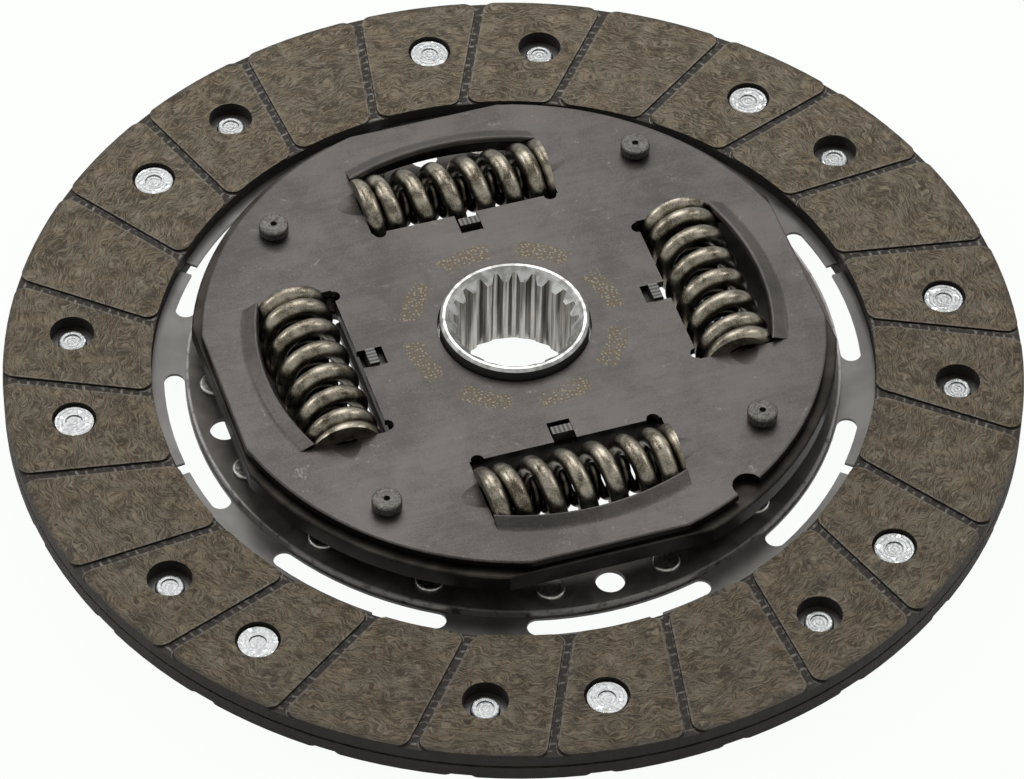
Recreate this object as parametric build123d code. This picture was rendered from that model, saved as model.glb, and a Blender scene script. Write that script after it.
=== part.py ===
from build123d import *
import math
import os

# Clutch disc of a passenger car: dry organic facings, sprung segments and a four-spring
# torsional damper round a splined hub. Lengths are millimetres and angles degrees.
# +Z is the hub's axis, from the hub's rear end face (z = 0) towards the spacer bolts' heads.
# The four damper windows lie on +X, +Y, -X and -Y.

# ---- driving dimensions ---------------------------------------------------------------

# How far a cutting shape runs on past the piece that it cuts
overrun = 1.0

# Friction facings and their grooves
facing_outer_radius = 114.0
facing_thickness = 3.5
groove_count = 24
groove_width = 2.0
groove_depth = 0.6
groove_lean = 10.9
groove_mouth_radius = 2.6
front_groove_angle = 0.9
rear_groove_angle = 6.6

# Sprung segment disc between the facings
cushion_thickness = 0.7
cushion_rim_inset = 1.0
cushion_rivet_edge_distance = 5.3
carrier_to_slot_gap = 0.4
cushion_slot_width = 4.6
cushion_slot_to_facing = 2.8
cushion_slot_half_angle = 15.9
cushion_slit_width = 3.0
cushion_slit_angle = 5.1
segment_count = 8

# Flush rivets that hold the facings
facing_rivet_circle = 99.2
front_rivet_angle = -6.56
rear_rivet_angle = 23.44
facing_rivet_head_radius = 4.45
facing_rivet_head_thickness = 1.2
facing_rivet_recess = 0.9
facing_rivet_shank_radius = 2.5
facing_rivet_closing_radius = 3.25
facing_rivet_closing_height = 0.95
facing_rivet_dimple_radius = 2.0
facing_rivet_dimple_depth = 0.3
facing_rivet_edge_break = 0.15
facing_rivet_closing_rounding = 0.55
counterbore_radius = 4.95
clearance_hole_radius = 5.0

# Carrier plate, dished round the damper and potted round the hub
plate_thickness = 1.8
carrier_outer_radius = 73.2
carrier_flat_inner_radius = 55.8
carrier_cone_top_radius = 51.2
carrier_rise = 4.9
carrier_pot_radius = 32.0
carrier_pot_floor_radius = 29.6
carrier_pot_depth = 3.0
carrier_window_outer_distance = 53.6
carrier_ledge_distance = 51.9
bend_inner_radius = 1.0

# Rivets and tooling holes round the carrier plate's rim
carrier_rivet_edge_distance = 5.9
carrier_rivet_count = 16
carrier_rivet_angle = 11.25
carrier_rivet_head_radius = 3.2
carrier_rivet_head_height = 1.0
carrier_rivet_shank_radius = 2.0
carrier_rivet_closing_radius = 3.0
carrier_rivet_rounding = 0.6
tooling_hole_radius = 3.25
tooling_hole_breakout = 0.6
cushion_tooling_hole_radius = 4.4

# Damper windows in the carrier and cover plates
window_count = 4
window_inner_distance = 35.9
window_half_length = 22.1
window_outer_radius = 57.4
window_corner_radius = 1.5
window_corner_inset = 1.9

# Cover plate
cover_radius = 69.5
cover_flat_distance = 67.2
cover_bore_radius = 17.2
cover_edge_rounding = 0.5
cover_lip_run = 3.0
cover_lip_rise = 1.6
cover_lip_bend_radius = 2.2
cover_lip_edge_rounding = 0.5
lug_notch_distance = 30.2
lug_notch_half_width = 2.6
ramp_distance = 45.9
ramp_hollow_radius = 11.0
ramp_length = 5.0
ramp_depth = 0.7
edge_notch_angle = -60.9
edge_notch_circle = 69.0
edge_notch_radius = 3.4

# Hub flange between the plates
flange_thickness = 4.2
flange_radius = 71.8
flange_flat_distance = 68.0
flange_edge_rounding = 0.5
flange_window_inner_distance = 35.2
flange_window_crown_clearance = 6.2
flange_window_corner_radius = 1.25
flange_recess_radius = 34.6
flange_recess_depth = 1.55
flange_to_cover_gap = 0.7
damper_travel_angle = 10.0

# Spacer bolts that join the carrier and cover plates
spacer_circle = 60.8
spacer_shoulder_radius = 4.0
spacer_slot_half_width = 4.6
spacer_stem_radius = 2.6
spacer_head_radius = 3.35
spacer_head_height = 3.0
spacer_head_rounding = 0.6
spacer_head_undercut = 0.9
spacer_rivet_chamfer = 0.4
spacer_centre_hole_radius = 0.75
spacer_centre_hole_depth = 1.0
spacer_rivet_radius = 3.6
spacer_rivet_height = 1.5
spacer_scallop_radius = 4.2

# Splined hub and its toothed seat in the flange
hub_length = 23.1
hub_radius = 16.6
hub_edge_chamfer = 0.6
hub_stand_out = 2.0
spline_teeth = 21
spline_major_radius = 14.35
spline_minor_radius = 12.85
spline_space_width_major = 0.9
spline_space_width_minor = 2.6
spline_tooth_space_angle = 71.8
spline_lead_radius = 15.4
spline_rear_lead_radius = 14.9
seat_teeth = 24
seat_root_radius = 22.0
seat_tip_radius = 23.8
seat_tip_share = 0.36
seat_root_share = 0.36

# Damper springs, one inside another in each window
spring_outer_radius = 9.0
spring_wire = 4.2
spring_active_pitch = 7.0
spring_start_angles = (9.0, 240.0, 302.0, 33.0)
inner_spring_outer_radius = 4.5
inner_spring_wire = 2.4
inner_spring_active_pitch = 3.4
inner_spring_start_angle = 40.0
spring_axis_distance = 45.8
closed_turns = 1.6
closed_coil_gap = 0.1
ground_tip_share = 0.25
spring_window_clearance = 0.2

# Friction pieces round the hub
running_gap = 0.05
friction_ring_thickness = 1.0
front_ring_inner_radius = 18.2
front_ring_outer_radius = 32.5
support_outer_radius = 34.2
support_thickness = 1.2
lug_thickness = 2.2
lug_half_width = 2.3
lug_height_over_cover = 0.6
rear_ring_inner_radius = 24.2
rear_ring_outer_radius = 29.4
pressure_ring_inner_radius = 22.3
diaphragm_thickness = 0.8
diaphragm_inner_radius = 22.2
diaphragm_outer_radius = 28.8
bush_running_clearance = 0.08
bush_outer_radius = 18.7
bush_collar_radius = 21.5
bush_collar_thickness = 1.0
bush_tail = 0.8

# ---- radii that follow the carrier plate's rim, the windows and the springs -------------

cushion_slot_inner_radius = carrier_outer_radius + carrier_to_slot_gap
cushion_slot_outer_radius = cushion_slot_inner_radius + cushion_slot_width
facing_inner_radius = cushion_slot_outer_radius + cushion_slot_to_facing
carrier_rivet_circle = carrier_outer_radius - carrier_rivet_edge_distance
cushion_inner_radius = carrier_rivet_circle - cushion_rivet_edge_distance
cover_lip_root_radius = window_outer_radius + cover_lip_run
spring_outer_distance = spring_axis_distance + spring_outer_radius
flange_window_outer_radius = spring_outer_distance + flange_window_crown_clearance


# ---- levels along the axis, each from the one before -----------------------------------

rear_face = hub_stand_out
cushion_rear = rear_face + facing_thickness
cushion_front = cushion_rear + cushion_thickness
carrier_front = cushion_front + plate_thickness
raised_front = carrier_front + carrier_rise
pot_floor = raised_front - carrier_pot_depth
flange_rear = raised_front + flange_to_cover_gap
flange_front = flange_rear + flange_thickness
cover_rear = flange_front + flange_to_cover_gap
cover_front = cover_rear + plate_thickness
recess_floor = flange_front - flange_recess_depth
support_rear = cover_rear - support_thickness
spring_level = (flange_rear + flange_front) / 2
spring_half_length = window_half_length
rear_ring_front = flange_rear - running_gap
rear_ring_rear = rear_ring_front - friction_ring_thickness
pressure_ring_rear = rear_ring_rear - friction_ring_thickness


# ---- small shared shapes ----------------------------------------------------------------

def disc(radius, bottom, top):
    return Pos(0, 0, bottom) * extrude(Circle(radius), amount=top - bottom)


def ring(outer, inner, bottom, top):
    return disc(outer, bottom, top) - disc(inner, bottom - overrun, top + overrun)


def plate(sketch, bottom, top):
    return Pos(0, 0, bottom) * extrude(sketch, amount=top - bottom)


def around(count, shape, start=0.0):
    return [Rot(0, 0, start + 360 / count * step) * shape for step in range(count)]


def on_circle(radius, angle, shape):
    return Rot(0, 0, angle) * (Pos(radius, 0, 0) * shape)


def toothed_outline(teeth, root, tip, root_half_angle, tip_half_angle):
    """Closed polygon whose teeth stand out to the tip radius, one tooth centred on +X."""
    points = []
    for tooth in range(teeth):
        centre = 360 / teeth * tooth
        for radius, offset in (
            (root, -root_half_angle),
            (tip, -tip_half_angle),
            (tip, tip_half_angle),
            (root, root_half_angle),
        ):
            turn = math.radians(centre + offset)
            points.append((radius * math.cos(turn), radius * math.sin(turn)))
    return make_face(Polyline(*points, close=True))


def round_corners(section, corners):
    """Section in the XZ plane with each ((radius, level), rounding) corner rounded."""
    for (radius, level), rounding in corners:
        corner = section.vertices().sort_by_distance((radius, 0, level))[0]
        section = fillet(corner, rounding)
    return section


def sheet_section(front_points, thickness, bend_radius):
    """Radial section of pressed sheet from its rim inwards, rounded on both sides of each bend."""
    rear_points = []
    corners = []
    last = len(front_points) - 1
    for place, (radius, level) in enumerate(front_points):
        before = front_points[max(place - 1, 0)]
        after = front_points[min(place + 1, last)]
        here = (radius, level)
        slopes = []
        for start, end in ((before, here), (here, after)):
            if start != end:
                slopes.append(math.atan2(start[1] - end[1], start[0] - end[0]))
        middle = sum(slopes) / len(slopes)
        reach = thickness / math.cos((slopes[0] - slopes[-1]) / 2)
        rear = (radius + reach * math.sin(middle), level - reach * math.cos(middle))
        rear_points.append(rear)
        if len(slopes) == 2:
            rises = slopes[1] < slopes[0]
            corners.append((here, bend_radius if rises else bend_radius + thickness))
            corners.append((rear, bend_radius + thickness if rises else bend_radius))
    outline = list(front_points) + rear_points[::-1]
    section = make_face(Polyline(*[(radius, 0, level) for radius, level in outline], close=True))
    return round_corners(section, corners)


def turned(section):
    return revolve(section, Axis.Z)


def window_outline(inner_distance, half_length, outer_radius):
    block = Pos(inner_distance + outer_radius / 2, 0) * Rectangle(outer_radius, 2 * half_length)
    return block & Circle(outer_radius)


# ---- friction facings ---------------------------------------------------------------------

def groove_cutters():
    """One leaning groove, and the rounded corners of the pad of lining beside it."""
    band = Circle(facing_outer_radius) - Circle(facing_inner_radius)
    length = 2 * (facing_outer_radius - facing_inner_radius)
    groove = Pos(groove_width - length / 2, 0) * Rectangle(length, groove_width)
    groove = Pos(facing_outer_radius, 0) * (Rot(0, 0, -groove_lean) * groove)
    next_groove = Rot(0, 0, 360 / groove_count) * groove
    pad = (band - [groove, next_groove]).faces().sort_by(SortBy.AREA)[0]
    corners = pad - fillet(pad.vertices(), groove_mouth_radius)
    floor = facing_thickness - groove_depth
    return [plate(outline, floor, facing_thickness + overrun) for outline in [groove, *corners.faces()]]


def facing(own_rivet_angle, other_rivet_angle, groove_angle):
    """A facing seen from its own rubbing face, lying from z = 0 up to that face."""
    body = ring(facing_outer_radius, facing_inner_radius, 0, facing_thickness)
    seat = facing_thickness - facing_rivet_recess - facing_rivet_head_thickness
    counterbore = disc(counterbore_radius, seat, facing_thickness + overrun)
    shank_hole = disc(facing_rivet_shank_radius, -overrun, seat + overrun)
    clearance_hole = disc(clearance_hole_radius, -overrun, facing_thickness + overrun)
    tools = [tool for cutter in groove_cutters() for tool in around(groove_count, cutter, groove_angle)]
    tools += around(segment_count, Pos(facing_rivet_circle, 0, 0) * counterbore, own_rivet_angle)
    tools += around(segment_count, Pos(facing_rivet_circle, 0, 0) * shank_hole, own_rivet_angle)
    tools += around(segment_count, Pos(facing_rivet_circle, 0, 0) * clearance_hole, other_rivet_angle)
    return body - tools


def front_facing():
    return Pos(0, 0, cushion_front) * facing(front_rivet_angle, rear_rivet_angle, front_groove_angle)


def rear_facing():
    # Turning the facing over about X reverses every angle.
    body = facing(-rear_rivet_angle, -front_rivet_angle, -rear_groove_angle)
    return Pos(0, 0, cushion_rear) * (Rot(180, 0, 0) * body)


# ---- sprung segment disc ------------------------------------------------------------------

def cushion_slot():
    """Curved slot with round ends between the carrier's rim and the facing's inner edge."""
    middle = (cushion_slot_inner_radius + cushion_slot_outer_radius) / 2
    width = cushion_slot_outer_radius - cushion_slot_inner_radius
    end_share = math.degrees(width / 2 / middle)
    sweep_half = cushion_slot_half_angle - end_share
    path = CenterArc((0, 0), middle, -sweep_half, 2 * sweep_half)
    return SlotArc(path, width)


def cushion_disc():
    outer = facing_outer_radius - cushion_rim_inset
    outline = Circle(outer) - Circle(cushion_inner_radius)
    outline -= around(segment_count, cushion_slot())
    slit_length = outer - cushion_slot_outer_radius + 2 * cushion_slit_width
    slit_middle = (outer + cushion_slot_outer_radius) / 2 + cushion_slit_width / 2
    slit = Pos(slit_middle, 0) * Rectangle(slit_length, cushion_slit_width)
    outline -= around(segment_count, slit, cushion_slit_angle)
    facing_hole = Pos(facing_rivet_circle, 0) * Circle(facing_rivet_shank_radius)
    outline -= around(segment_count, facing_hole, front_rivet_angle)
    outline -= around(segment_count, facing_hole, rear_rivet_angle)
    carrier_hole = Pos(carrier_rivet_circle, 0) * Circle(carrier_rivet_shank_radius)
    outline -= around(carrier_rivet_count, carrier_hole, carrier_rivet_angle)
    tooling_hole = Pos(carrier_rivet_circle, 0) * Circle(cushion_tooling_hole_radius)
    outline -= around(window_count, tooling_hole)
    outline -= around(window_count, Pos(spacer_circle, 0) * Circle(spacer_scallop_radius), 45)
    return plate(outline, cushion_rear, cushion_front)


# ---- rivets -------------------------------------------------------------------------------

def facing_rivet():
    """Flush rivet standing on its closing end, with z = 0 on the segment's far side."""
    seat = cushion_thickness + facing_thickness - facing_rivet_recess - facing_rivet_head_thickness
    top = seat + facing_rivet_head_thickness
    rivet = disc(facing_rivet_shank_radius, 0, seat)
    head = disc(facing_rivet_head_radius, seat, top)
    head = chamfer(head.edges().sort_by(Axis.Z)[-1], facing_rivet_edge_break)
    rivet += head
    closing = disc(facing_rivet_closing_radius, -facing_rivet_closing_height, 0)
    closing = fillet(closing.edges().sort_by(Axis.Z)[0], facing_rivet_closing_rounding)
    rivet += closing
    dimple_top = facing_rivet_dimple_depth - facing_rivet_closing_height
    rivet -= disc(facing_rivet_dimple_radius, -2 * facing_rivet_closing_height, dimple_top)
    rivet -= disc(facing_rivet_dimple_radius, top - facing_rivet_dimple_depth, top + overrun)
    return rivet


def front_facing_rivets():
    rivet = Pos(facing_rivet_circle, 0, cushion_rear) * facing_rivet()
    return around(segment_count, rivet, front_rivet_angle)


def rear_facing_rivets():
    rivet = Pos(facing_rivet_circle, 0, cushion_front) * (Rot(180, 0, 0) * facing_rivet())
    return around(segment_count, rivet, rear_rivet_angle)


def carrier_rivets():
    head = disc(carrier_rivet_head_radius, carrier_front, carrier_front + carrier_rivet_head_height)
    head = fillet(head.edges().sort_by(Axis.Z)[-1], carrier_rivet_rounding)
    closing = disc(carrier_rivet_closing_radius, cushion_rear - carrier_rivet_head_height, cushion_rear)
    closing = fillet(closing.edges().sort_by(Axis.Z)[0], carrier_rivet_rounding)
    rivet = disc(carrier_rivet_shank_radius, cushion_rear, carrier_front) + head + closing
    return around(carrier_rivet_count, Pos(carrier_rivet_circle, 0, 0) * rivet, carrier_rivet_angle)


def spacer_bolts():
    """Shouldered bolts, closed over under the carrier plate and headed over the cover plate."""
    head_top = cover_front + spacer_head_height
    head = disc(spacer_head_radius, cover_front, head_top)
    head = fillet(head.edges().sort_by(Axis.Z)[-1], spacer_head_rounding)
    head = chamfer(head.edges().sort_by(Axis.Z)[0], spacer_head_undercut)
    head -= disc(spacer_centre_hole_radius, head_top - spacer_centre_hole_depth, head_top + overrun)
    closing = disc(spacer_rivet_radius, cushion_front - spacer_rivet_height, cushion_front)
    closing = chamfer(closing.edges().sort_by(Axis.Z)[0], spacer_rivet_chamfer)
    bolt = disc(spacer_stem_radius, cushion_front, cover_front)
    bolt += disc(spacer_shoulder_radius, carrier_front, cover_rear)
    bolt += head
    bolt += closing
    return around(window_count, Pos(spacer_circle, 0, 0) * bolt, 45)


# ---- carrier plate ------------------------------------------------------------------------

def corner_reliefs():
    """Round reliefs in a window's two inner corners."""
    relief_offset = window_half_length - window_corner_inset
    return [
        Pos(window_inner_distance, side * relief_offset) * Circle(window_corner_radius)
        for side in (-1, 1)
    ]


def carrier_window():
    """Window whose straight outer edge lies low on the cone, close beside the spring."""
    width = carrier_window_outer_distance - window_inner_distance
    middle = (carrier_window_outer_distance + window_inner_distance) / 2
    return Pos(middle, 0) * Rectangle(width, 2 * window_half_length) + corner_reliefs()


def carrier_ledge():
    """Foot of a window's outer edge, level with the plate's flat rim, under the spring."""
    width = carrier_flat_inner_radius - carrier_ledge_distance
    middle = (carrier_flat_inner_radius + carrier_ledge_distance) / 2
    foot = Pos(middle, 0) * Rectangle(width, 2 * window_half_length)
    return plate(foot, cushion_front, carrier_front)


def tooling_hole():
    """Pierced hole that breaks out wider on the plate's rear."""
    breakout = Cone(tooling_hole_radius + tooling_hole_breakout, tooling_hole_radius, tooling_hole_breakout)
    breakout = Pos(0, 0, cushion_front + tooling_hole_breakout / 2) * breakout
    hole = disc(tooling_hole_radius, cushion_front - overrun, carrier_front + overrun)
    return Pos(carrier_rivet_circle, 0, 0) * (hole + breakout)


def carrier_plate():
    section = sheet_section(
        [
            (carrier_outer_radius, carrier_front),
            (carrier_flat_inner_radius, carrier_front),
            (carrier_cone_top_radius, raised_front),
            (carrier_pot_radius, raised_front),
            (carrier_pot_floor_radius, pot_floor),
            (bush_outer_radius, pot_floor),
        ],
        plate_thickness,
        bend_inner_radius,
    )
    body = turned(section)
    low = cushion_front - overrun
    high = raised_front + overrun
    tools = around(window_count, plate(carrier_window(), low, high))
    rivet_hole = Pos(carrier_rivet_circle, 0, 0) * disc(carrier_rivet_shank_radius, low, high)
    tools += around(carrier_rivet_count, rivet_hole, carrier_rivet_angle)
    tools += around(window_count, tooling_hole())
    tools += around(window_count, Pos(spacer_circle, 0, 0) * disc(spacer_stem_radius, low, high), 45)
    return body - tools + around(window_count, carrier_ledge())


# ---- cover plate --------------------------------------------------------------------------

def flatted_outline(radius, flat_distance):
    return Circle(radius) & Rectangle(2 * flat_distance, 2 * flat_distance)


def cover_lip():
    """Outer edge of a cover window, bent up along its length and sheared free at its ends."""
    section = sheet_section(
        [
            (cover_lip_root_radius + plate_thickness, cover_front),
            (cover_lip_root_radius, cover_front),
            (window_outer_radius, cover_front + cover_lip_rise),
        ],
        plate_thickness,
        cover_lip_bend_radius,
    )
    free_edge = section.edges().sort_by(Axis.X)[0]
    section = fillet(free_edge.vertices(), cover_lip_edge_rounding)
    reach = cover_lip_root_radius + plate_thickness
    keep = Box(reach, 2 * window_half_length, 6 * plate_thickness)
    return turned(section) & (Pos(window_outer_radius, 0, cover_front) * keep)


def coined_ramp():
    """Shallow hollow pressed into the plate's front, deepest at the end of a window."""
    slope = math.atan2(ramp_depth, ramp_length)
    reach = ramp_hollow_radius + ramp_length
    hollow = Cylinder(ramp_hollow_radius, reach, align=(Align.CENTER, Align.MIN, Align.MAX))
    hollow = Rot(90 + math.degrees(slope), 0, 0) * hollow
    level = cover_front - ramp_depth - overrun * math.tan(slope)
    return Pos(ramp_distance, window_half_length - overrun, level) * hollow


def cover_plate():
    body = plate(flatted_outline(cover_radius, cover_flat_distance), cover_rear, cover_front)
    front_rim = body.faces().sort_by(Axis.Z)[-1].outer_wire().edges()
    body = fillet(front_rim, cover_edge_rounding)
    low = cover_rear - overrun
    high = cover_front + overrun
    opening = window_outline(window_inner_distance, window_half_length, cover_lip_root_radius)
    opening += corner_reliefs()
    notch_depth = window_inner_distance - lug_notch_distance
    notch_middle = (window_inner_distance + lug_notch_distance) / 2
    opening += Pos(notch_middle, 0) * Rectangle(notch_depth, 2 * lug_notch_half_width)
    ramp = coined_ramp()
    for tool in around(window_count, ramp) + around(window_count, mirror(ramp, Plane.XZ)):
        body -= tool
    body -= around(window_count, plate(opening, low, high))
    body += around(window_count, cover_lip())
    room_radius = spring_outer_radius + spring_window_clearance
    spring_room = Cylinder(room_radius, 2 * window_half_length)
    spring_room = Pos(spring_axis_distance, 0, spring_level) * (Rot(90, 0, 0) * spring_room)
    tools = around(window_count, spring_room)
    tools += around(window_count, Pos(spacer_circle, 0, 0) * disc(spacer_stem_radius, low, high), 45)
    tools.append(disc(cover_bore_radius, low, high))
    tools.append(on_circle(edge_notch_circle, edge_notch_angle, disc(edge_notch_radius, low, high)))
    return body - tools


# ---- hub and flange -----------------------------------------------------------------------

def seat_outline():
    pitch = 360 / seat_teeth
    root_half_angle = pitch / 2 * (1 - seat_root_share)
    tip_half_angle = pitch / 2 * seat_tip_share
    return toothed_outline(seat_teeth, seat_root_radius, seat_tip_radius, root_half_angle, tip_half_angle)


def hub_flange():
    body = plate(flatted_outline(flange_radius, flange_flat_distance), flange_rear, flange_front)
    front_rim = body.faces().sort_by(Axis.Z)[-1].outer_wire().edges()
    body = fillet(front_rim, flange_edge_rounding)
    low = flange_rear - overrun
    high = flange_front + overrun
    window_end = window_half_length + 2 * running_gap
    opening = window_outline(flange_window_inner_distance, window_end, flange_window_outer_radius)
    opening = fillet(opening.vertices(), flange_window_corner_radius)
    slot_path = CenterArc((0, 0), spacer_circle, 45 - damper_travel_angle, 2 * damper_travel_angle)
    slot = SlotArc(slot_path, 2 * spacer_slot_half_width)
    tools = around(window_count, plate(opening, low, high))
    tools += around(window_count, plate(slot, low, high))
    tools.append(disc(flange_recess_radius, recess_floor, high))
    tools.append(plate(seat_outline(), low, high))
    return body - tools


def spline_outline():
    """The bore's outline: its teeth are the spaces cut between the hub's own teeth."""
    space_major = math.degrees(spline_space_width_major / 2 / spline_major_radius)
    space_minor = math.degrees(spline_space_width_minor / 2 / spline_minor_radius)
    return toothed_outline(
        spline_teeth, spline_minor_radius, spline_major_radius, space_minor, space_major
    )


def splined_hub():
    body = disc(hub_radius, 0, hub_length)
    body = chamfer(body.edges().filter_by(GeomType.CIRCLE), hub_edge_chamfer)
    body += plate(seat_outline(), flange_rear, recess_floor)
    spline = Rot(0, 0, spline_tooth_space_angle) * plate(spline_outline(), -overrun, hub_length + overrun)
    front_drop = spline_lead_radius - spline_minor_radius
    rear_drop = spline_rear_lead_radius - spline_minor_radius
    front_lead = Cone(spline_minor_radius, spline_lead_radius, front_drop)
    rear_lead = Cone(spline_rear_lead_radius, spline_minor_radius, rear_drop)
    tools = [
        spline,
        Pos(0, 0, hub_length - front_drop / 2) * front_lead,
        Pos(0, 0, rear_drop / 2) * rear_lead,
    ]
    return body - tools


# ---- damper springs -----------------------------------------------------------------------

def ground_spring(outer_radius, wire, active_pitch, left_handed):
    """Compression spring with closed, ground ends, standing on z = 0 at its full length."""

    def coil(pitch, turns, level, turned_by):
        path = Helix(pitch, pitch * turns, outer_radius - wire / 2, lefthand=left_handed)
        turned_by = -turned_by if left_handed else turned_by
        return (Pos(0, 0, level) * (Rot(0, 0, turned_by) * path)).edge()

    length = 2 * spring_half_length
    start = wire * ground_tip_share - wire / 2
    closed_pitch = wire + closed_coil_gap
    closed_length = closed_pitch * closed_turns
    active_length = length - 2 * start - 2 * closed_length
    active_turns = active_length / active_pitch
    end_turn = 360 * (closed_turns + active_turns)
    path = Wire(
        [
            coil(closed_pitch, closed_turns, start, 0),
            coil(active_pitch, active_turns, start + closed_length, 360 * closed_turns),
            coil(closed_pitch, closed_turns, length - start - closed_length, end_turn),
        ]
    )
    wire_end = Plane(origin=path @ 0, z_dir=path % 0)
    body = sweep(wire_end * Circle(wire / 2), path, is_frenet=True)
    room = 4 * outer_radius
    return body & (Pos(0, 0, length / 2) * Box(room, room, length))


def in_window(window, start_angle, spring):
    """Spring laid along a damper window, turned about its own axis by the start angle."""
    spring = Rot(0, 0, start_angle) * (Pos(0, 0, -spring_half_length) * spring)
    spring = Pos(spring_axis_distance, 0, spring_level) * (Rot(90, 0, 0) * spring)
    return Rot(0, 0, 360 / window_count * window) * spring


def damper_spring(window):
    """Outer, right-handed spring of a damper window."""
    spring = ground_spring(spring_outer_radius, spring_wire, spring_active_pitch, False)
    return in_window(window, spring_start_angles[window], spring)


def inner_spring(window):
    """Inner spring, wound left-handed so that the two can't wind into each other."""
    spring = ground_spring(
        inner_spring_outer_radius, inner_spring_wire, inner_spring_active_pitch, True
    )
    return in_window(window, inner_spring_start_angle * window, spring)


# ---- friction pieces ----------------------------------------------------------------------

def support_plate():
    """Ring behind the cover plate with four lugs that stand up through the cover's notches."""
    body = ring(support_outer_radius, front_ring_inner_radius, support_rear, cover_rear)
    lug_top = cover_front + lug_height_over_cover
    lug_height = lug_top - support_rear
    lug_middle = support_outer_radius - lug_thickness / 2
    lug = Box(lug_thickness, 2 * lug_half_width, lug_height)
    lug = Pos(lug_middle, 0, (support_rear + lug_top) / 2) * lug
    lug &= disc(support_outer_radius, support_rear, lug_top)
    body += around(window_count, lug)
    return body


def front_friction_ring():
    return ring(
        front_ring_outer_radius, front_ring_inner_radius, recess_floor + running_gap, support_rear
    )


def rear_friction_ring():
    return ring(rear_ring_outer_radius, rear_ring_inner_radius, rear_ring_rear, rear_ring_front)


def pressure_ring():
    return ring(rear_ring_outer_radius, pressure_ring_inner_radius, pressure_ring_rear, rear_ring_rear)


def diaphragm_spring():
    """Coned washer that stands on the pot's floor and presses the friction ring forwards."""
    section = make_face(
        Polyline(
            (diaphragm_outer_radius, 0, pot_floor),
            (diaphragm_outer_radius, 0, pot_floor + diaphragm_thickness),
            (diaphragm_inner_radius + diaphragm_thickness, 0, pressure_ring_rear),
            (diaphragm_inner_radius, 0, pressure_ring_rear),
            (diaphragm_inner_radius, 0, pressure_ring_rear - diaphragm_thickness),
            (diaphragm_outer_radius - diaphragm_thickness, 0, pot_floor),
            close=True,
        )
    )
    return turned(section)


def centring_bush():
    bore = hub_radius + bush_running_clearance
    collar_front = pot_floor + bush_collar_thickness
    sleeve_rear = pot_floor - plate_thickness - bush_tail
    body = disc(bush_outer_radius, sleeve_rear, collar_front) + disc(
        bush_collar_radius, pot_floor, collar_front
    )
    return body - disc(bore, sleeve_rear - overrun, collar_front + overrun)


# ---- one STEP file a piece ----------------------------------------------------------------

def save(name, shape):
    parts = shape if isinstance(shape, list) else [shape]
    solids = [solid for item in parts for solid in item.solids()]
    print(name, len(solids), [round(solid.volume) for solid in solids[:2]])
    export_step(solids[0] if len(solids) == 1 else Compound(solids), f"parts/{name}.step")


os.makedirs("parts", exist_ok=True)

save("facing_front", front_facing())
save("facing_rear", rear_facing())
save("cushion_disc", cushion_disc())
save("facing_rivets_front", front_facing_rivets())
save("facing_rivets_rear", rear_facing_rivets())
save("carrier_plate", carrier_plate())
save("carrier_rivets", carrier_rivets())
save("cover_plate", cover_plate())
save("spacer_bolts", spacer_bolts())
save("hub_flange", hub_flange())
save("splined_hub", splined_hub())
for window in range(window_count):
    save(f"damper_spring_{window + 1}", damper_spring(window))
    save(f"inner_spring_{window + 1}", inner_spring(window))
save("support_plate", support_plate())
save("friction_ring_front", front_friction_ring())
save("friction_ring_rear", rear_friction_ring())
save("pressure_ring", pressure_ring())
save("diaphragm_spring", diaphragm_spring())
save("centring_bush", centring_bush())
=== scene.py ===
import math

import bpy
from mathutils import Matrix, Vector

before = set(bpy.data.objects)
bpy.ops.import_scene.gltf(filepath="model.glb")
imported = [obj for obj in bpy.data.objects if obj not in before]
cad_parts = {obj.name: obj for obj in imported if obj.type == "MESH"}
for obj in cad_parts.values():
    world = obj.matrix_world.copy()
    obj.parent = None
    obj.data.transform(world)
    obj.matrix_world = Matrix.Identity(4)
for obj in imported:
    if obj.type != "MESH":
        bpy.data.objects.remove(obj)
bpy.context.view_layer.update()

# ---- Splined hub --------------------------------------------------------------------
# Forged steel, turned all over and broached with 21 spaces for the gearbox's input shaft.
# Its toothed collar, part way up, carries the flange. The cut faces are left bright.


class Value:
    """The output of a node. Arithmetic on a number that varies adds the Math nodes."""

    def __init__(self, graph, socket):
        self.graph = graph
        self.socket = socket

    def math(self, operation, *others):
        return self.graph.node("ShaderNodeMath", {"operation": operation}, [self, *others])

    def after(self, operation, first):
        return self.graph.node("ShaderNodeMath", {"operation": operation}, [first, self])

    def __add__(self, other):
        return self.math("ADD", other)

    def __radd__(self, other):
        return self.after("ADD", other)

    def __sub__(self, other):
        return self.math("SUBTRACT", other)

    def __rsub__(self, other):
        return self.after("SUBTRACT", other)

    def __mul__(self, other):
        return self.math("MULTIPLY", other)

    def __rmul__(self, other):
        return self.after("MULTIPLY", other)

    def __truediv__(self, other):
        return self.math("DIVIDE", other)

    def __rtruediv__(self, other):
        return self.after("DIVIDE", other)

    def __pow__(self, other):
        return self.math("POWER", other)

    def __abs__(self):
        return self.math("ABSOLUTE")

    def wave(self, pitch):
        """A smooth ripple from 0 to 1 with one crest every pitch."""
        return (self * (2 * math.pi / pitch)).math("COSINE") * 0.5 + 0.5

    def fade(self, start, end):
        """0 where this is at start, 1 where it is at end, and smooth between."""
        if start > end:
            return 1 - self.fade(end, start)
        settings = {"interpolation_type": "SMOOTHSTEP"}
        return self.graph.node("ShaderNodeMapRange", settings, [self, start, end])


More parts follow.
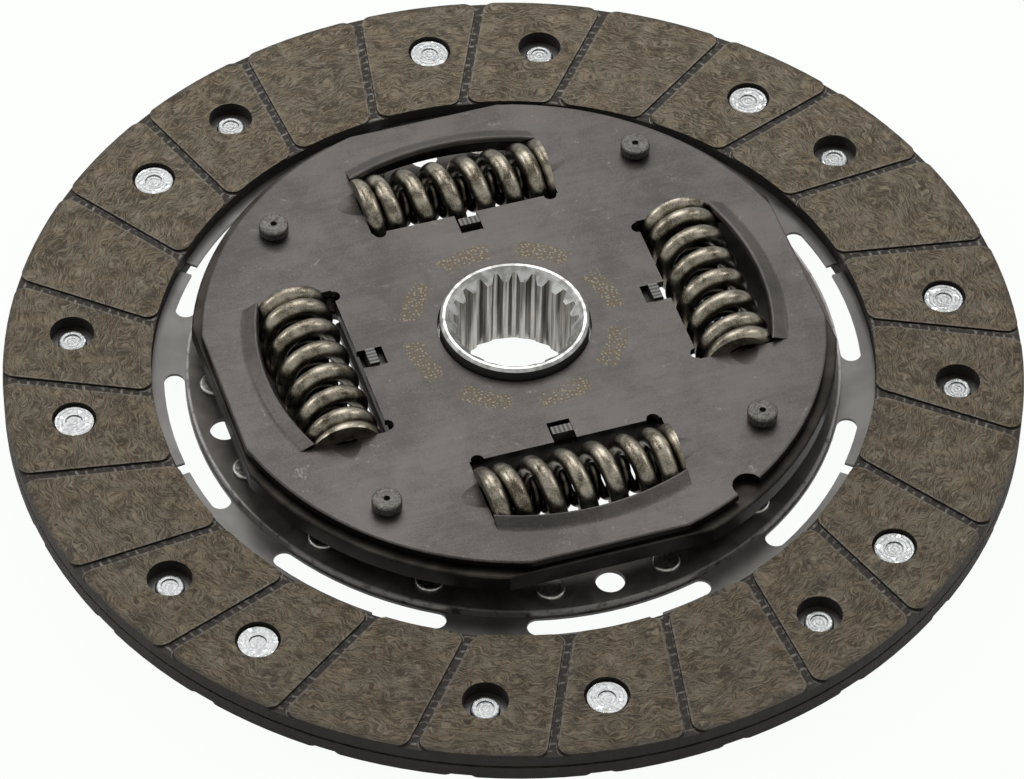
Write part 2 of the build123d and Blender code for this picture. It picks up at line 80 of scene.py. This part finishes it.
class Graph:
    """The node tree of a material or of the world."""

    def __init__(self, owner):
        owner.use_nodes = True
        self.tree = owner.node_tree

    def node(self, kind, settings, sockets, output=0):
        """Adds a node, sets it, links or fills its sockets and gives back one output."""
        node = self.tree.nodes.new(kind)
        for name, value in settings.items():
            setattr(node, name, value)
        pairs = sockets.items() if isinstance(sockets, dict) else enumerate(sockets)
        for name, value in pairs:
            socket = node.inputs[name]
            if isinstance(value, Value):
                self.tree.links.new(value.socket, socket)
            elif isinstance(value, tuple) and len(value) == 3 and socket.type == "RGBA":
                socket.default_value = (*value, 1)
            else:
                socket.default_value = value
        return Value(self, node.outputs[output])

    def feed(self, value, node_name, socket_name):
        """Links a value to a node that the tree starts with."""
        self.tree.links.new(value.socket, self.tree.nodes[node_name].inputs[socket_name])


class Finish(Graph):
    """One material, built up by adding nodes that feed its Principled shader."""

    def __init__(self, name, metallic=1.0, roughness=0.4):
        self.material = bpy.data.materials.new(name)
        super().__init__(self.material)
        self.shader = self.tree.nodes["Principled BSDF"]
        self.shader.inputs["Metallic"].default_value = metallic
        self.shader.inputs["Roughness"].default_value = roughness
        metres = self.node("ShaderNodeTexCoord", {}, [], "Object")
        scale = {"operation": "SCALE"}
        self.place = self.node("ShaderNodeVectorMath", scale, {0: metres, "Scale": 1000})
        self.x = self.node("ShaderNodeSeparateXYZ", {}, [self.place], "X")
        self.y = self.node("ShaderNodeSeparateXYZ", {}, [self.place], "Y")
        self.z = self.node("ShaderNodeSeparateXYZ", {}, [self.place], "Z")
        self.radius = (self.x * self.x + self.y * self.y) ** 0.5
        self.angle = self.y.math("ARCTAN2", self.x) * math.degrees(1)
        # up is 1 on a face that looks up. level is 1 on it and on one that looks down.
        normal = self.node("ShaderNodeNewGeometry", {}, [], "Normal")
        self.up = self.node("ShaderNodeSeparateXYZ", {}, [normal], "Z")
        self.level = abs(self.up)

    def stretch(self, along_x, along_y, along_z):
        """Place in millimetres, scaled by a different amount on each axis."""
        sockets = [self.place, (along_x, along_y, along_z)]
        return self.node("ShaderNodeVectorMath", {"operation": "MULTIPLY"}, sockets)

    def vector(self, x, y, z):
        return self.node("ShaderNodeCombineXYZ", {}, [x, y, z])

    def noise(self, size, detail=3.0, distortion=0.0, at=None, roughness=0.5):
        """Soft random patches about size millimetres across, from 0 to 1."""
        sockets = {"Vector": at or self.place, "Scale": 1 / size, "Detail": detail}
        sockets.update({"Roughness": roughness, "Distortion": distortion})
        return self.node("ShaderNodeTexNoise", {"noise_dimensions": "3D"}, sockets, "Fac")

    def mix(self, amount, low, high):
        """Colour that goes from low to high as amount goes from 0 to 1."""
        settings = {"data_type": "RGBA", "blend_type": "MIX", "clamp_factor": True}
        return self.node("ShaderNodeMix", settings, {0: amount, 6: low, 7: high}, 2)

    def repeat(self, value, count, start):
        """Angle in degrees from the nearest of count like places round the axis."""
        half = 180 / count
        return (value - start).math("WRAP", half, -half)

    def set(self, colour, bump, depth, roughness=None, metallic=None):
        """Feeds the shader. A bump of 1 stands depth millimetres high."""
        sockets = {"Strength": 1.0, "Distance": depth / 1000, "Height": bump}
        normal = self.node("ShaderNodeBump", {}, sockets)
        links = {"Base Color": colour, "Roughness": roughness, "Metallic": metallic}
        links["Normal"] = normal
        for name, value in links.items():
            if value is not None:
                self.feed(value, "Principled BSDF", name)
        return self


def dress(finish, *nodes):
    """Puts a finish on CAD nodes in place of the plain one that they come with."""
    for name in nodes:
        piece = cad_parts[name]
        for slot in piece.material_slots:
            slot.material = finish.material


clean_cut = (0.50, 0.50, 0.488)
stained_cut = (0.22, 0.217, 0.209)
sloping_face_shade = (0.20, 0.197, 0.19)
upright_side_painted_shade = (0.020, 0.018, 0.016)
oily_streak = (0.14, 0.132, 0.12)
broached_streak = (0.50, 0.48, 0.45)
outside_radius = 16.5
spline_lead_radius = 15.2

bright = Finish("turned_bright_steel", roughness=0.3)
turning = bright.z.wave(0.35) * 0.5 + bright.radius.wave(0.4) * 0.5
stain = bright.noise(2.2, 4.0)
face_tone = bright.mix(stain.fade(0.35, 0.65), clean_cut, stained_cut)
# Painted shade: the hub's upright outer side is painted near black.
upright = bright.level.fade(0.5, 0.3)
outside = bright.radius.fade(outside_radius - 0.3, outside_radius) * upright
face_tone = bright.mix(outside, face_tone, upright_side_painted_shade)
# Painted shade: faces that slope are painted darker than the flat faces.
face_tone = bright.mix(bright.level.fade(0.97, 0.9) * 0.35, face_tone, sloping_face_shade)
# Broaching leaves streaks along the spaces, and a darker film of oil.
streaks = bright.noise(1.0, 3.0, at=bright.stretch(1.1, 1.1, 0.05))
bore_tone = bright.mix(streaks.fade(0.34, 0.66), oily_streak, broached_streak)
inside = bright.radius.fade(spline_lead_radius, spline_lead_radius - 0.3)
in_bore = inside * bright.level.fade(0.3, 0.15)
lead = bright.up.fade(0.97, 0.9) * (1 - in_bore)
bright.set(
    bright.mix(in_bore, face_tone, bore_tone),
    roughness=stain * 0.2 + 0.26 + lead * 0.14,
    bump=turning + streaks + bright.noise(0.6) * 0.6,
    depth=0.02,
)
dress(bright, "splined_hub")

# ---- Hub flange ---------------------------------------------------------------------
# Fineblanked from 4.2 mm steel and hardened. It is pressed on the hub's toothed collar and
# its four windows push the springs. The faces are dark from heat treatment and oil.

quenched_black = (0.012, 0.0105, 0.009)
quenched_brown = (0.034, 0.030, 0.026)

dark = Finish("hardened_dark_steel", roughness=0.45)
dark_patches = dark.noise(9.0, 4.0, 0.6)
dark.set(
    dark.mix(dark_patches.fade(0.3, 0.75), quenched_black, quenched_brown),
    roughness=dark_patches * 0.2 + 0.34,
    bump=dark.noise(0.5, 4.0),
    depth=0.03,
)
dress(dark, "hub_flange")

# ---- Damper springs -----------------------------------------------------------------
# Four coil springs of 4.2 mm oil-tempered wire with closed, ground ends, each with a smaller
# one inside it, painted darker as painted shade within the outer coil. They turn the shaft's
# jerks into soft motion.

# The inner springs' colour is scaled down, as painted shade inside the outer coils.
outer_shade = 1.0
inner_painted_shade = 0.22


def spring_wire(name, shade):
    """Drawn and tempered wire: brown-grey, mottled along its length and finely pitted.
    shade scales the colour, and paints shade on the inner springs.
    """
    wire = Finish(name, roughness=0.3)
    mottle = wire.noise(3.4, 4.0, 0.4, roughness=0.55)
    pits = wire.noise(0.26, 3.0)
    dull = tuple(shade * part for part in (0.042, 0.033, 0.023))
    wear_and_highlight_breaks = tuple(shade * part for part in (0.29, 0.262, 0.212))
    return wire.set(
        wire.mix((mottle * 0.6 + pits * 0.4).fade(0.34, 0.66), dull, wear_and_highlight_breaks),
        roughness=mottle * 0.14 + 0.24,
        bump=pits + mottle * 0.6,
        depth=0.022,
    )


outer_wire = spring_wire("oil_tempered_wire", outer_shade)
inner_wire = spring_wire("painted_shade_inner_wire", inner_painted_shade)
for window in (1, 2, 3, 4):
    dress(outer_wire, f"damper_spring_{window}")
    dress(inner_wire, f"inner_spring_{window}")

# ---- Friction rings and bush --------------------------------------------------------
# Thin rings moulded from a brown friction compound. They rub on the flange, the plates and
# the hub and damp the springs' motion. Little more than their edges shows.

compound_dark = (0.035, 0.028, 0.022)
compound_light = (0.09, 0.075, 0.06)

moulded = Finish("moulded_friction_ring", metallic=0.0, roughness=0.6)
moulded.set(
    moulded.mix(moulded.noise(1.2, 4.0), compound_dark, compound_light),
    bump=moulded.noise(0.4, 4.0),
    depth=0.04,
)
dress(moulded, "friction_ring_front", "friction_ring_rear", "centring_bush")

# ---- Pressure ring and coned spring -------------------------------------------------
# Pressed steel rings, stacked between the carrier plate and the flange. The coned spring
# pushes the pressure ring and sets the damper's friction.

pressed_dark = (0.12, 0.108, 0.094)
pressed_light = (0.22, 0.205, 0.185)

pressed = Finish("pressed_ring_steel")
pressed.set(
    pressed.mix(pressed.noise(5.0, 4.0), pressed_dark, pressed_light),
    bump=pressed.noise(0.5, 4.0),
    depth=0.02,
)
dress(pressed, "pressure_ring", "diaphragm_spring")

# ---- Support plate ------------------------------------------------------------------
# A blackened steel ring behind the cover plate. Its four lugs stand up through the cover's
# notches, and only their sheared, ribbed ends are bare steel.

black_low = (0.010, 0.009, 0.008)
black_high = (0.028, 0.025, 0.022)
rib_valley = (0.020, 0.018, 0.016)
rib_crest = (0.115, 0.110, 0.102)
rib_pitch = 1.0
lug_end_height = 19.4

blackened = Finish("blackened_ring_steel", metallic=0.5, roughness=0.5)
black = blackened.mix(blackened.noise(3.0, 4.0), black_low, black_high)
along_lug = abs(blackened.x).math("MINIMUM", abs(blackened.y))
ribs = blackened.mix(along_lug.wave(rib_pitch), rib_valley, rib_crest)
high_up = blackened.z.fade(lug_end_height - 0.8, lug_end_height)
lug_end = high_up * blackened.level.fade(0.6, 0.8)
blackened.set(
    blackened.mix(lug_end, black, ribs),
    bump=blackened.noise(0.5, 4.0),
    depth=0.02,
)
dress(blackened, "support_plate")

# ---- Carrier plate ------------------------------------------------------------------
# Pressed from 1.8 mm strip, dished to hold the springs and riveted to the segment disc.
# Phosphated, dark and a little cloudy. Its outer rim is painted lighter in broken patches,
# as a painted highlight where the blanked edge catches light.

phosphate_dark = (0.050, 0.045, 0.040)
phosphate_light = (0.095, 0.087, 0.078)
rim_painted_highlight = (0.26, 0.25, 0.235)
carrier_rim = 72.9

carrier = Finish("phosphated_plate", metallic=0.5, roughness=0.5)
carrier.shader.inputs["Specular IOR Level"].default_value = 0.25
phosphate = carrier.noise(7.0, 5.0, 0.8)
carrier_tone = carrier.mix(phosphate.fade(0.3, 0.75), phosphate_dark, phosphate_light)
# Painted highlight: the outer rim is lightened wherever the noise lets it through.
rim_highlight_breaks = carrier.noise(2.0, 3.0).fade(0.25, 0.5)
rim_highlight_mask = carrier.radius.fade(carrier_rim - 0.4, carrier_rim) * rim_highlight_breaks
carrier.set(
    carrier.mix(rim_highlight_mask, carrier_tone, rim_painted_highlight),
    roughness=phosphate * 0.2 + 0.4,
    bump=carrier.noise(0.5, 4.0),
    depth=0.02,
)
dress(carrier, "carrier_plate")

# ---- Cover plate --------------------------------------------------------------------
# Pressed from the same strip and held off the carrier by the spacer bolts. Its windows have
# raised outer lips and coined ends. The face is satin, with faint marks from rolling.

satin_dark = (0.026, 0.0225, 0.0200)
satin_light = (0.068, 0.060, 0.0555)
warm_patch = (0.076, 0.064, 0.053)
scuffed = (0.17, 0.16, 0.15)
edge_shade_dark = (0.011, 0.0095, 0.008)
edge_shade_light = (0.026, 0.023, 0.020)

satin = Finish("satin_plate", metallic=0.55, roughness=0.44)
grain = satin.noise(1.0, 3.0, at=satin.stretch(0.10, 0.9, 1.0))
haze = satin.noise(30.0, 3.0, 0.4)
cloud = satin.noise(6.0, 5.0, 0.6, roughness=0.6)
speckle = satin.noise(0.45, 3.0)
tone = grain * 0.12 + haze * 0.33 + cloud * 0.30 + speckle * 0.25
face_colour = satin.mix(tone.fade(0.38, 0.62), satin_dark, satin_light)
warm = satin.noise(17.0, 4.0, 0.5).fade(0.52, 0.72)
face_colour = satin.mix(warm * 0.45, face_colour, warm_patch)
# Handling has scuffed the face brighter here and there.
scuff = satin.noise(3.0, 4.0, 0.8).fade(0.64, 0.72) * satin.noise(0.5, 2.0).fade(0.45, 0.6)
face_colour = satin.mix(scuff * 0.45, face_colour, scuffed)

# Eight arcs of plain peened dots stand round the hub, with a film of rust among them.
arc_count = 8
arc_middle_angle = 11.0
arc_half_angle = 16.0
arc_middle_radius = 23.2
arc_half_width = 2.6
dots_per_millimetre = 1.15
film_of_rust = (0.052, 0.038, 0.022)
dot_bottom = (0.215, 0.185, 0.125)
from_arc = abs(satin.repeat(satin.angle, arc_count, arc_middle_angle))
along_arc = from_arc.fade(arc_half_angle, arc_half_angle - 3)
across_arc = abs(satin.radius - arc_middle_radius).fade(arc_half_width, arc_half_width - 0.6)
peened = along_arc * across_arc * satin.up.fade(0.8, 0.95)
cells = {"Vector": satin.place, "Scale": dots_per_millimetre, "Randomness": 0.8}
from_dot = satin.node("ShaderNodeTexVoronoi", {"feature": "F1"}, cells, "Distance")
dots = peened * from_dot.fade(0.44, 0.24)
rust = peened * satin.noise(1.6, 4.0).fade(0.30, 0.62)
face_colour = satin.mix(rust * 0.9, face_colour, film_of_rust)
face_colour = satin.mix(dots * 0.6, face_colour, dot_bottom)

# Painted shade: the plate's side faces are painted near black.
painted_edge_shade = satin.mix(cloud, edge_shade_dark, edge_shade_light)
side_face = satin.level.fade(0.62, 0.3)
satin.set(
    satin.mix(side_face, face_colour, painted_edge_shade),
    roughness=cloud * 0.14 + 0.36,
    metallic=side_face * 0.45 + 0.55,
    bump=grain * 0.2 + speckle + cloud * 2.0 + dots * 4.0,
    depth=0.014,
)
dress(satin, "cover_plate")

# ---- Spacer bolts -------------------------------------------------------------------
# Four shouldered steel bolts that hold the two plates apart and stop the flange. Each is
# closed over behind the carrier plate and stands through the cover plate.

bolt_dark = (0.030, 0.027, 0.024)
bolt_light = (0.120, 0.112, 0.103)

bolt = Finish("bolt_steel", metallic=0.6, roughness=0.5)
bolt_speckle = bolt.noise(0.5, 4.0, 0.5).fade(0.3, 0.7)
bolt.set(
    bolt.mix(bolt_speckle, bolt_dark, bolt_light),
    bump=bolt.noise(0.4, 4.0),
    depth=0.03,
)
dress(bolt, "spacer_bolts")

# ---- Segment disc -------------------------------------------------------------------
# One thin sheet of spring steel that carries both facings and gives them a soft take-up.
# It is hardened and oiled, in broad, faint patches.

strip_dark = (0.058, 0.054, 0.050)
strip_light = (0.110, 0.105, 0.098)

segment = Finish("segment_strip", metallic=0.5)
segment_patches = segment.noise(14.0, 3.0, 0.4)
segment.set(
    segment.mix(segment_patches.fade(0.3, 0.7), strip_dark, strip_light),
    roughness=segment_patches * 0.15 + 0.3,
    bump=segment.noise(0.5, 4.0),
    depth=0.01,
)
dress(segment, "cushion_disc")

# ---- Carrier rivets -----------------------------------------------------------------
# Sixteen small steel rivets that hold the segment disc to the carrier plate. Their grey
# heads are lightly hammered by the setting tool.

head_dark = (0.17, 0.16, 0.145)
head_light = (0.38, 0.365, 0.34)

small_rivet = Finish("grey_rivet", roughness=0.35)
rivet_patches = small_rivet.noise(1.0, 4.0)
small_rivet.set(
    small_rivet.mix(rivet_patches.fade(0.3, 0.7), head_dark, head_light),
    roughness=rivet_patches * 0.2 + 0.25,
    bump=rivet_patches,
    depth=0.05,
)
dress(small_rivet, "carrier_rivets")

# ---- Friction facings ---------------------------------------------------------------
# Wound yarn and resin, moulded into a ring, ground flat and grooved. The wavy yarn shows
# as short pale strokes in the brown resin. The sides are painted darker than the face, as
# painted shade.

lining_outer = 114.0
lining_inner = 81.0
lining_middle = 97.0
groove_count = 24
groove_lean = 10.9
groove_mouth = 2.6
groove_edge = 1.2
rail_place = 0.74
rung_pitch = 2.05
yarn_width = 0.42
yarn_length = 3.6
brown_dark, brown_light = (0.044, 0.032, 0.020), (0.205, 0.163, 0.112)
olive_dark, olive_light = (0.046, 0.037, 0.026), (0.196, 0.165, 0.120)
facing_side_shade_dark, facing_side_shade_light = (0.012, 0.011, 0.009), (0.036, 0.031, 0.027)
groove_dark, groove_light = (0.036, 0.030, 0.025), (0.25, 0.232, 0.207)
bare_fibre = (0.29, 0.245, 0.185)
pale_arris = (0.24, 0.222, 0.198)
rim_shadow = (0.05, 0.044, 0.038)


def lining(name, hand, groove_start, groove_floor):
    """Finish of one facing. hand is -1 on the rear one, which is the same ring turned over."""
    yarn = Finish(name, metallic=0.0, roughness=0.72)
    yarn.shader.inputs["Specular IOR Level"].default_value = 0.2

    # The yarn lies round the ring in short lengths and wanders in and out.
    offset = lining_outer * math.sin(math.radians(groove_lean))
    lean_here = (offset / yarn.radius).math("ARCSINE")
    sweep = yarn.angle * hand - lean_here * math.degrees(1) + (groove_lean - groove_start)
    around = yarn.repeat(sweep, 1, 180.0) * (lining_middle * math.radians(1))
    drift = yarn.noise(1.0, 2.0, at=yarn.vector(around / 9.0, yarn.radius / 7.0, 4.0)) - 0.5
    curl = yarn.noise(1.0, 2.0, at=yarn.vector(around / 4.0, yarn.radius / 3.0, 9.0)) - 0.5
    bent = yarn.radius + drift * 10.0 + curl * 2.6
    along = around + drift * 5.0
    lengthwise = yarn.vector(along / yarn_length, bent / yarn_width, 1.0)
    outwards = yarn.vector((along + bent) / 2.6, (bent - along * 0.6) / 0.5, 7.0)
    inwards = yarn.vector((along - bent) / 2.6, (bent + along * 0.6) / 0.5, 3.0)
    main_strand = yarn.noise(1.0, 3.0, at=lengthwise, roughness=0.6)
    outward_strand = yarn.noise(1.0, 2.0, at=outwards)
    inward_strand = yarn.noise(1.0, 2.0, at=inwards)
    strands = main_strand * 0.56 + outward_strand * 0.22 + inward_strand * 0.22
    patches = yarn.noise(4.0, 4.0)
    grit = yarn.noise(0.24, 2.0)
    shade = (strands + (patches - 0.5) * 0.26 + (grit - 0.5) * 0.26).fade(0.385, 0.625)
    brown = yarn.mix(shade, brown_dark, brown_light)
    olive = yarn.mix(shade, olive_dark, olive_light)
    face_colour = yarn.mix(yarn.noise(6.0, 3.0).fade(0.38, 0.62), brown, olive)
    fleck = main_strand.fade(0.58, 0.68) * grit.fade(0.3, 0.6)
    face_colour = yarn.mix(fleck * 0.6, face_colour, bare_fibre)

    # The groove's floor keeps the mould's mark, a ladder of dark cells that wears away. Its
    # pale side rails, also round the mouths, are a painted highlight where the floor meets the
    # walls.
    turn = yarn.repeat(sweep, groove_count, 0.0) * math.radians(1)
    across = yarn.radius * turn.math("SINE") * lean_here.math("COSINE")
    in_groove = abs(yarn.z - groove_floor).fade(0.3, 0.2)
    rim_gap = (lining_outer - yarn.radius).math("MINIMUM", yarn.radius - lining_inner)
    flare = (groove_mouth - rim_gap).math("MAXIMUM", 0.0) ** 2 / (1.7 * groove_mouth)
    from_edge = abs(across) - flare
    rung = (yarn.radius + yarn.noise(2.0, 2.0) * 0.6).wave(rung_pitch).fade(0.72, 0.9)
    # Painted highlight: a pale rail along each edge of the groove's floor, broken by the same
    # wear.
    rail_highlight = abs(from_edge - rail_place).fade(0.2, 0.06)
    wear_and_highlight_breaks = yarn.noise(1.5, 4.0).fade(0.40, 0.66)
    mouth = rim_gap.fade(2.4, 1.2) * rail_highlight
    ladder = (rung.math("MAXIMUM", rail_highlight) * wear_and_highlight_breaks).math("MAXIMUM", mouth)
    groove_colour = yarn.mix(ladder, groove_dark, groove_light)
    colour = yarn.mix(in_groove, face_colour, groove_colour)
    chipped = yarn.noise(1.1, 3.0).fade(0.35, 0.6)
    arris = abs(from_edge - groove_edge).fade(0.3, 0.1) * chipped
    colour = yarn.mix(arris * (1 - in_groove) * 0.5, colour, pale_arris)

    # Painted shade: the rims and the sides of grooves and holes are painted darker than the
    # face.
    painted_side_shade = yarn.mix(yarn.noise(2.0, 4.0), facing_side_shade_dark, facing_side_shade_light)
    colour = yarn.mix(yarn.level.fade(0.75, 0.4), colour, painted_side_shade)
    near_rim = yarn.radius.fade(lining_outer - 1.6, lining_outer - 0.2)
    return yarn.set(
        yarn.mix(near_rim * 0.45, colour, rim_shadow),
        roughness=yarn.noise(2.5, 3.0) * 0.2 + 0.6,
        bump=strands * 1.4 + grit * 0.4 - in_groove * ladder * 0.6,
        depth=0.2,
    )


front_lining = lining("front_lining", hand=1, groove_start=0.9, groove_floor=9.1)
dress(front_lining, "facing_front")
rear_lining = lining("rear_lining", hand=-1, groove_start=-6.6, groove_floor=2.6)
dress(rear_lining, "facing_rear")

# ---- Facing rivets ------------------------------------------------------------------
# Sixteen plated rivets, eight put in from each side. Their heads sit below the rubbing face
# and their far ends are rolled over on the segment disc, in the deep holes.

rivets_each_side = 8
rivet_circle = 99.2
front_rivet_angle = -6.56
rear_rivet_angle = 23.44
ring_pitch = 0.85
plating_dark = (0.200, 0.206, 0.208)
plating_light = (0.375, 0.381, 0.381)
ring_shadow = (0.17, 0.17, 0.17)
nicked = (0.80, 0.80, 0.80)


def rivet_finish(name, first_angle):
    """Plated rivets, marked in rings by the setting tool and lightly nicked round the rim."""
    plated = Finish(name, metallic=0.9, roughness=0.42)
    turn = plated.repeat(plated.angle, rivets_each_side, first_angle) * math.radians(1)
    radial = plated.radius * turn.math("COSINE") - rivet_circle
    tangential = plated.radius * turn.math("SINE")
    from_middle = (radial * radial + tangential * tangential) ** 0.5
    rings = from_middle.wave(ring_pitch)
    pits = plated.noise(0.45, 3.0)
    mottled = plated.noise(0.7, 5.0, 0.6)
    colour = plated.mix(mottled.fade(0.3, 0.7), plating_dark, plating_light)
    in_ring = rings.fade(0.7, 1.0) * from_middle.fade(2.6, 2.0)
    colour = plated.mix(in_ring * 0.3, colour, ring_shadow)
    nick = plated.noise(1.3, 1.0).fade(0.60, 0.64) * from_middle.fade(2.4, 2.9)
    return plated.set(
        plated.mix(nick * 0.6, colour, nicked),
        roughness=mottled * 0.25 + 0.3,
        bump=rings * 0.5 + pits + nick,
        depth=0.08,
    )


dress(rivet_finish("plated_rivet_front", front_rivet_angle), "facing_rivets_front")
dress(rivet_finish("plated_rivet_rear", rear_rivet_angle), "facing_rivets_rear")

# ---- Floor and room -----------------------------------------------------------------
# A pale floor just under the part, in a pale room. Both look white to the eye and in
# polished metal, and the floor keeps the part's shadow.

floor_size = 6
floor_gap = 0.0006
floor_grey = (0.9, 0.9, 0.9)
pale_white = (0.985, 1.0, 0.985)
floor_white_share = 0.97
room_light = 0.17
room_white = 1.0


def seen(graph):
    """1 to the eye and where gloss or glass shows what is behind, and 0 as a light."""
    rays = ("Is Camera Ray", "Is Glossy Ray", "Is Transmission Ray")
    eye, gloss, glass = (graph.node("ShaderNodeLightPath", {}, [], ray) for ray in rays)
    return eye.math("MAXIMUM", gloss).math("MAXIMUM", glass)


bpy.ops.object.select_all(action="DESELECT")
bpy.ops.mesh.primitive_plane_add(size=floor_size, location=(0, 0, -floor_gap))
floor = bpy.context.object
floor.name = "floor"
pale_floor = bpy.data.materials.new("pale_floor")
paper = Graph(pale_floor)
paper.tree.nodes.remove(paper.tree.nodes["Principled BSDF"])
shaded = paper.node("ShaderNodeBsdfDiffuse", {}, {"Color": floor_grey})
white = paper.node("ShaderNodeEmission", {}, {"Color": pale_white})
white_share = seen(paper) * floor_white_share
surface = paper.node("ShaderNodeMixShader", {}, [white_share, shaded, white])
paper.feed(surface, "Material Output", "Surface")
floor.data.materials.append(pale_floor)

world = bpy.data.worlds.new("pale_room")
bpy.context.scene.world = world
room = Graph(world)
room.tree.nodes["Background"].inputs["Color"].default_value = (*pale_white, 1)
levels = {"Value": seen(room), "To Min": room_light, "To Max": room_white}
room.feed(room.node("ShaderNodeMapRange", {}, levels), "Background", "Strength")

# ---- Lamps --------------------------------------------------------------------------
# A broad soft lamp above and behind the part, and a smaller one at each side. They show
# the coils' round tops and the edges of the plates.

view_turn = math.radians(18.9)


def lamp(name, azimuth, elevation, distance, size, power):
    """A square soft light that faces the disc. Azimuth is counted from the viewer's right."""
    turn = math.radians(azimuth) - view_turn
    rise = math.radians(elevation)
    sideways = math.cos(rise)
    away = Vector((math.cos(turn) * sideways, math.sin(turn) * sideways, math.sin(rise)))
    light = bpy.data.lights.new(name, "AREA")
    light.size = size
    light.energy = power
    holder = bpy.data.objects.new(name, light)
    bpy.context.scene.collection.objects.link(holder)
    holder.location = away * distance
    holder.rotation_euler = away.to_track_quat("Z", "Y").to_euler()


lamp("top_light", azimuth=98, elevation=58, distance=0.5, size=0.36, power=1.5)
lamp("left_light", azimuth=165, elevation=38, distance=0.75, size=0.22, power=1.3)
lamp("right_light", azimuth=22, elevation=42, distance=0.75, size=0.22, power=0.9)

# ---- Camera -------------------------------------------------------------------------
# A long lens that looks down on the disc at about 48 degrees. The disc fills the frame
# from side to side.

camera_elevation = 0.83274
camera_distance = 1.276821
camera_roll = -0.01951
camera_aim = Vector((-0.00026261, -0.00989856, 0.0097))
sensor_width = 36.0
picture_width = 1024
focal_length_in_pixels = 5742.07

back = Vector((0, -math.cos(camera_elevation), math.sin(camera_elevation)))
right = Vector((1, 0, 0))
up = back.cross(right)
picture_right = right * math.cos(camera_roll) - up * math.sin(camera_roll)
picture_up = right * math.sin(camera_roll) + up * math.cos(camera_roll)
stand = Matrix((picture_right, picture_up, back)).transposed().to_4x4()
stand.translation = camera_aim + back * camera_distance
lens = bpy.data.cameras.new("viewer")
lens.sensor_width = sensor_width
lens.lens = sensor_width * focal_length_in_pixels / picture_width
lens.clip_end = 20
viewer = bpy.data.objects.new("viewer", lens)
bpy.context.scene.collection.objects.link(viewer)
viewer.matrix_world = Matrix.Rotation(-view_turn, 4, "Z") @ stand
bpy.context.scene.camera = viewer
bpy.context.scene.view_settings.view_transform = "Standard"
